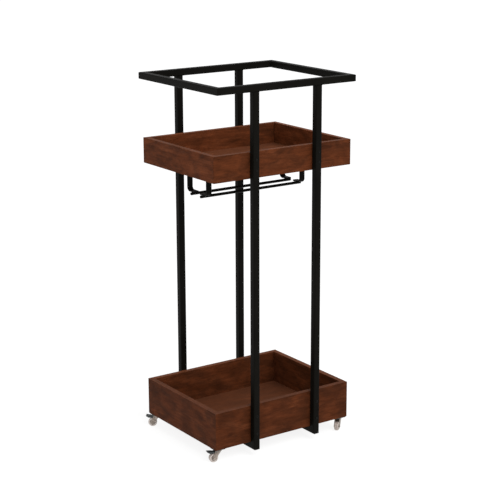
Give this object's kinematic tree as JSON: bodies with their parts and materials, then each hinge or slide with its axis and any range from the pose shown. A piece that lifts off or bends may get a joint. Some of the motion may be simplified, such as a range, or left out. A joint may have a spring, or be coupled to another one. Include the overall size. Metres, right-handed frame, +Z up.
{
  "type": "bar cart",
  "caption": "Tall slim bar cart: black square-tube frame with a handrail ring, open wooden box trays above and below, a hanging stemware rack and small swivel casters.",
  "frame": {"origin": "on the floor under the centre of the trays", "axes": "+Z up; X along the long side of the trays; -Y towards the front, where two posts stand in front of the trays"},
  "size_m": [0.4659, 0.3928, 1.027],
  "materials": {
    "powder_coat": "satin black powder coat",
    "walnut_board": "satin red-brown walnut-look board",
    "black_screw": "satin black",
    "plated_steel": "zinc plated",
    "dark_steel": "dark satin",
    "clear_tread": "translucent polyurethane"
  },
  "bodies": {
    "cart": {"ring_front": "powder_coat", "ring_rear": "powder_coat", "ring_left": "powder_coat", "ring_right": "powder_coat", "post_front_left": "powder_coat", "post_front_right": "powder_coat", "post_rear_left": "powder_coat", "post_rear_right": "powder_coat", "base_bar_left": "powder_coat", "base_bar_right": "powder_coat", "upper_wall_front": "walnut_board", "upper_wall_rear": "walnut_board", "upper_wall_left": "walnut_board", "upper_wall_right": "walnut_board", "upper_floor": "walnut_board", "lower_wall_front": "walnut_board", "lower_wall_rear": "walnut_board", "lower_wall_left": "walnut_board", "lower_wall_right": "walnut_board", "lower_floor": "walnut_board", "rack_strap_front_left": "powder_coat", "rack_strap_front_right": "powder_coat", "rack_strap_rear_left": "powder_coat", "rack_strap_rear_right": "powder_coat", "rack_rod_front": "powder_coat", "rack_rod_rear": "powder_coat", "tray_screws": "black_screw", "rack_screws": "black_screw", "caster_screws": "dark_steel", "plate_fl": "dark_steel", "race_fl": "dark_steel", "kingpin_fl": "dark_steel", "plate_rl": "dark_steel", "race_rl": "dark_steel", "kingpin_rl": "dark_steel", "plate_fr": "dark_steel", "race_fr": "dark_steel", "kingpin_fr": "dark_steel", "plate_rr": "dark_steel", "race_rr": "dark_steel", "kingpin_rr": "dark_steel"},
    "swivel_fl": {"fork_fl": "plated_steel", "axle_fl": "plated_steel"},
    "wheel_fl": {"wheel_fl": "clear_tread"},
    "brake_fl": {"pedal_fl": "dark_steel"},
    "swivel_rl": {"fork_rl": "plated_steel", "axle_rl": "plated_steel"},
    "wheel_rl": {"wheel_rl": "clear_tread"},
    "brake_rl": {"pedal_rl": "dark_steel"},
    "swivel_fr": {"fork_fr": "plated_steel", "axle_fr": "plated_steel"},
    "wheel_fr": {"wheel_fr": "clear_tread"},
    "swivel_rr": {"fork_rr": "plated_steel", "axle_rr": "plated_steel"},
    "wheel_rr": {"wheel_rr": "clear_tread"}
  },
  "joints": [
    {"name": "swivel_fl", "type": "hinge", "parent": "cart", "child": "swivel_fl", "pos_m": [-0.208, -0.159, 0.0335], "axis": [0, 0, 1], "continuous": true},
    {"name": "roll_fl", "type": "hinge", "parent": "swivel_fl", "child": "wheel_fl", "pos_m": [-0.22072, -0.1563, 0.0125], "axis": [-0.2079, -0.9781, 0], "continuous": true},
    {"name": "brake_fl", "type": "hinge", "parent": "swivel_fl", "child": "brake_fl", "pos_m": [-0.21534, -0.15744, 0.0285], "axis": [-0.2079, -0.9781, 0], "range_deg": [0, 12]},
    {"name": "swivel_rl", "type": "hinge", "parent": "cart", "child": "swivel_rl", "pos_m": [-0.208, 0.159, 0.0335], "axis": [0, 0, 1], "continuous": true},
    {"name": "roll_rl", "type": "hinge", "parent": "swivel_rl", "child": "wheel_rl", "pos_m": [-0.21838, 0.16682, 0.0125], "axis": [-0.6018, -0.7986, 0], "continuous": true},
    {"name": "brake_rl", "type": "hinge", "parent": "swivel_rl", "child": "brake_rl", "pos_m": [-0.21399, 0.16351, 0.0285], "axis": [-0.6018, -0.7986, 0], "range_deg": [0, 12]},
    {"name": "swivel_fr", "type": "hinge", "parent": "cart", "child": "swivel_fr", "pos_m": [0.208, -0.159, 0.0335], "axis": [0, 0, 1], "continuous": true},
    {"name": "roll_fr", "type": "hinge", "parent": "swivel_fr", "child": "wheel_fr", "pos_m": [0.19776, -0.167, 0.0125], "axis": [0.6157, -0.788, 0], "continuous": true},
    {"name": "swivel_rr", "type": "hinge", "parent": "cart", "child": "swivel_rr", "pos_m": [0.208, 0.159, 0.0335], "axis": [0, 0, 1], "continuous": true},
    {"name": "roll_rr", "type": "hinge", "parent": "swivel_rr", "child": "wheel_rr", "pos_m": [0.1955, 0.15542, 0.0125], "axis": [0.2756, -0.9613, 0], "continuous": true}
  ]
}
